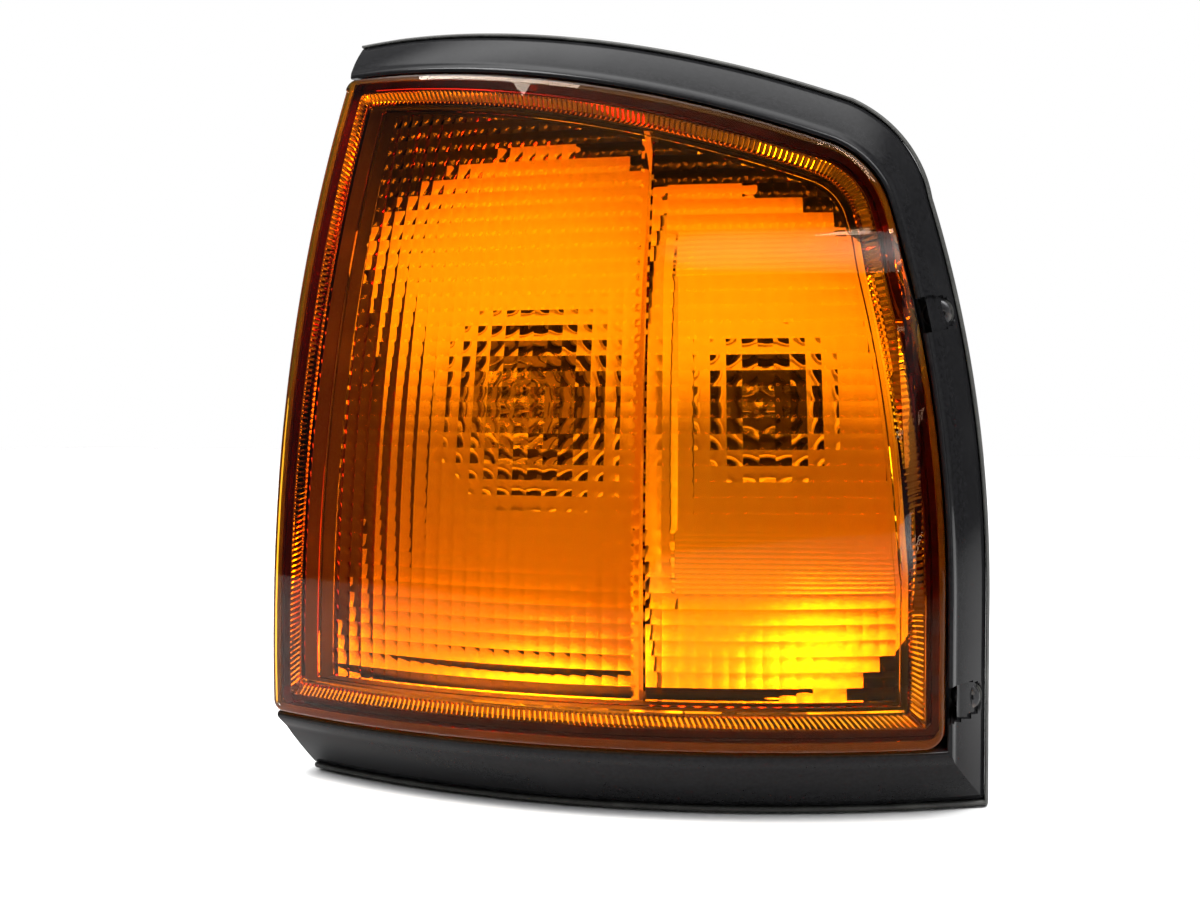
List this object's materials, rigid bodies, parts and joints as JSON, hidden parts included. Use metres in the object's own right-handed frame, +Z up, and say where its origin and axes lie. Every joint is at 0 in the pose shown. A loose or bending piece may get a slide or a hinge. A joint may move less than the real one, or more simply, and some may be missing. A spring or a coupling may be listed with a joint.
{
  "type": "corner turn signal lamp",
  "caption": "Corner turn-signal lamp for a vehicle: amber ribbed lens on a bucket housing, framed on three sides by black trim, with two twist-lock bulb sockets behind.",
  "frame": {"origin": "where the lower mounting screw's free shank leaves the back of the housing", "axes": "+Z up, -Y forward out of the lens, +X outboard away from the headlamp; +Y runs back along the screws, pegs and sockets"},
  "size_m": [0.1975, 0.1085, 0.2145],
  "materials": {
    "amber_lens": "clear amber moulded acrylic, smooth outside, pillow optics inside",
    "black_rubber": "matt black rubber",
    "black_housing": "fine-grained black moulded plastic",
    "bright_reflector": "vacuum-metallised plastic, bright",
    "gloss_black_trim": "gloss black moulded plastic with a faint orange peel",
    "black_screw": "black-coated steel",
    "zinc_screw": "zinc-plated steel",
    "grey_foam": "closed-cell foam",
    "grey_holder": "grey glass-filled plastic",
    "brass": "drawn brass",
    "brown_board": "laminated phenolic board",
    "tin_blade": "tin-plated brass blade",
    "spring_steel": "spring wire",
    "black_holder": "black moulded plastic",
    "clear_glass": "clear blown glass",
    "filament_metal": "tungsten coil and nickel supports"
  },
  "bodies": {
    "lamp_body": {"lens": "amber_lens", "lens_seal": "black_rubber", "housing": "black_housing", "main_reflector": "bright_reflector", "side_reflector": "bright_reflector", "trim": "gloss_black_trim", "edge_seal": "black_rubber", "mounting_screws": "black_screw", "screw_washers": "black_rubber", "trim_screws": "zinc_screw", "reflector_screws": "zinc_screw", "body_gasket": "grey_foam", "vent_cap": "black_rubber"},
    "turn_holder": {"turn_socket": "grey_holder", "turn_socket_seal": "black_rubber", "turn_shell": "brass", "contact_insulator": "brown_board", "turn_terminals": "tin_blade", "contact_spring": "spring_steel"},
    "plunger": {"contact_plunger": "brass"},
    "turn_bulb": {"turn_bulb_cap": "brass", "turn_bulb_contact": "black_holder", "turn_bulb_glass": "clear_glass", "turn_filament": "filament_metal"},
    "side_holder": {"side_socket": "black_holder", "side_socket_seal": "black_rubber", "side_contacts": "brass"},
    "side_bulb": {"side_bulb_glass": "clear_glass", "side_filament": "filament_metal"}
  },
  "joints": [
    {"name": "turn_socket_twist", "type": "hinge", "parent": "lamp_body", "child": "turn_holder", "pos_m": [-0.1255, 0.02423, 0.074], "axis": [0, 1, 0], "range_deg": [0, 45]},
    {"name": "turn_bulb_press", "type": "slide", "parent": "turn_holder", "child": "turn_bulb", "axis": [0, 1, 0], "range_m": [0, 0.0025], "stiffness_N_per_m": 900, "springref_m": -0.005},
    {"name": "plunger_press", "type": "slide", "parent": "turn_holder", "child": "plunger", "axis": [0, 1, 0], "range_m": [0, 0.0025], "deforming": ["contact_spring"]},
    {"name": "side_socket_twist", "type": "hinge", "parent": "lamp_body", "child": "side_holder", "pos_m": [-0.0555, 0.02423, 0.074], "axis": [0, 1, 0], "range_deg": [0, 45]},
    {"name": "side_bulb_pull", "type": "slide", "parent": "side_holder", "child": "side_bulb", "axis": [0, -1, 0], "range_m": [0, 0.008]}
  ],
  "couplings": [
    {"joint": "plunger_press", "follows": "turn_bulb_press", "ratio": 1}
  ]
}
